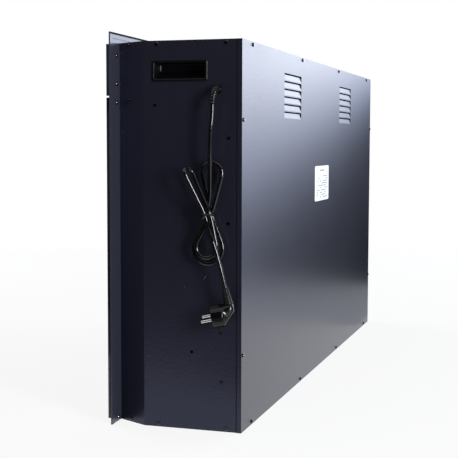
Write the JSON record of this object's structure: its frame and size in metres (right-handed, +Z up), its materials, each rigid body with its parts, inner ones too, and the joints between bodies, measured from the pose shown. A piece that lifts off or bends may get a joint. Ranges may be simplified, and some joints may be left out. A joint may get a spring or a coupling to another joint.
{
  "type": "electric_fireplace_insert",
  "caption": "Wide flush electric fireplace insert in black sheet steel, with louvred back, recessed side grips, front flange, glass front and a tied mains lead with an angled plug",
  "frame": {"origin": "under the middle of the object's box, lead left out, on the plane that it stands on", "axes": "+Z up, +Y out of the rear panel, the glass front faces -Y, the lead hangs on the +X side"},
  "size_m": [1.2684, 0.2396, 0.671],
  "materials": {
    "casing_black": "satin black powder coat",
    "flange_black": "satin black powder coat",
    "fascia_black": "matt black",
    "screw_black": "blackened steel",
    "zinc_sheet": "galvanised sheet",
    "steel_rod": "turned steel",
    "motor_can": "grey motor housing",
    "wheel_alloy": "bright sheet",
    "bush_bronze": "sintered bronze",
    "heater_alloy": "finned element",
    "front_pane": "clear tempered glass",
    "tape_foam": "black foam tape",
    "grip_plastic": "black moulding",
    "label_paper": "white sticker",
    "terminal_white": "white moulding",
    "board_green": "circuit board",
    "cutout_body": "phenolic disc",
    "lead_rubber": "black cable sheath",
    "plug_plastic": "black moulding",
    "pin_nickel": "nickel plate",
    "tie_wire": "coated wire",
    "flag_mirror": "bright flags",
    "reflector_bright": "bright sheet",
    "screen_frosted": "frosted smoke acrylic",
    "liner_brick": "moulded dark brick",
    "ember_resin": "amber and charcoal moulding",
    "log_resin": "moulded wood",
    "bezel_plastic": "black moulding",
    "button_plastic": "dark grey moulding"
  },
  "bodies": {
    "chassis": {"rear_panel": "casing_black", "side_panel_right": "casing_black", "side_panel_left": "casing_black", "top_panel": "casing_black", "bottom_panel": "casing_black", "partition_shelf": "zinc_sheet", "front_flange_right": "flange_black", "front_flange_left": "flange_black", "front_flange_top": "flange_black", "fascia_panel": "fascia_black", "front_glass": "front_pane", "glass_tape": "tape_foam", "glass_clips": "screw_black", "rear_panel_screws": "screw_black", "side_panel_screws": "screw_black", "flange_screws": "screw_black", "handle_cup_right": "grip_plastic", "handle_cup_left": "grip_plastic", "rating_label": "label_paper", "blower_motor": "motor_can", "blower_bracket": "zinc_sheet", "blower_housing_right": "zinc_sheet", "blower_housing_left": "zinc_sheet", "blower_bearings": "bush_bronze", "heater_element_right": "heater_alloy", "heater_element_left": "heater_alloy", "thermal_cutouts": "cutout_body", "terminal_block": "terminal_white", "control_board": "board_green", "inner_lead": "lead_rubber", "spindle_bracket_right": "zinc_sheet", "spindle_bracket_left": "zinc_sheet", "spindle_motor": "motor_can", "spindle_bush": "bush_bronze", "led_bar": "wheel_alloy", "led_strip": "terminal_white", "flame_reflector": "reflector_bright", "flame_screen": "screen_frosted", "screen_brackets": "zinc_sheet", "firebox_liners": "liner_brick", "ember_bed": "ember_resin", "log_set": "log_resin", "control_bezel": "bezel_plastic", "button_board": "board_green", "cord_strain_relief": "plug_plastic", "power_cord_feed": "lead_rubber", "power_cord_hank": "lead_rubber", "power_cord_tail": "lead_rubber", "cord_tie": "tie_wire", "plug_body": "plug_plastic", "plug_contacts": "pin_nickel"},
    "blower_rotor": {"blower_shaft": "steel_rod", "blower_wheel_right": "wheel_alloy", "blower_wheel_left": "wheel_alloy"},
    "flame_spindle": {"spindle_rod": "steel_rod", "spindle_flags": "flag_mirror"},
    "flame_key": {"button_flame": "button_plastic"},
    "heat_key": {"button_heat": "button_plastic"},
    "timer_key": {"button_timer": "button_plastic"},
    "power_switch": {"power_rocker": "button_plastic"}
  },
  "joints": [
    {"name": "blower_spin", "type": "hinge", "parent": "chassis", "child": "blower_rotor", "pos_m": [0, 0.0224, 0.597], "axis": [1, 0, 0], "continuous": true},
    {"name": "spindle_spin", "type": "hinge", "parent": "chassis", "child": "flame_spindle", "pos_m": [0, 0.0554, 0.13], "axis": [1, 0, 0], "continuous": true},
    {"name": "flame_key_press", "type": "slide", "parent": "chassis", "child": "flame_key", "axis": [0, 1, 0], "range_m": [0, 0.0012], "stiffness_N_per_m": 400},
    {"name": "heat_key_press", "type": "slide", "parent": "chassis", "child": "heat_key", "axis": [0, 1, 0], "range_m": [0, 0.0012], "stiffness_N_per_m": 400},
    {"name": "timer_key_press", "type": "slide", "parent": "chassis", "child": "timer_key", "axis": [0, 1, 0], "range_m": [0, 0.0012], "stiffness_N_per_m": 400},
    {"name": "power_rock", "type": "hinge", "parent": "chassis", "child": "power_switch", "pos_m": [0.485, -0.1144, 0.607], "axis": [1, 0, 0], "range_deg": [-7, 7]}
  ]
}
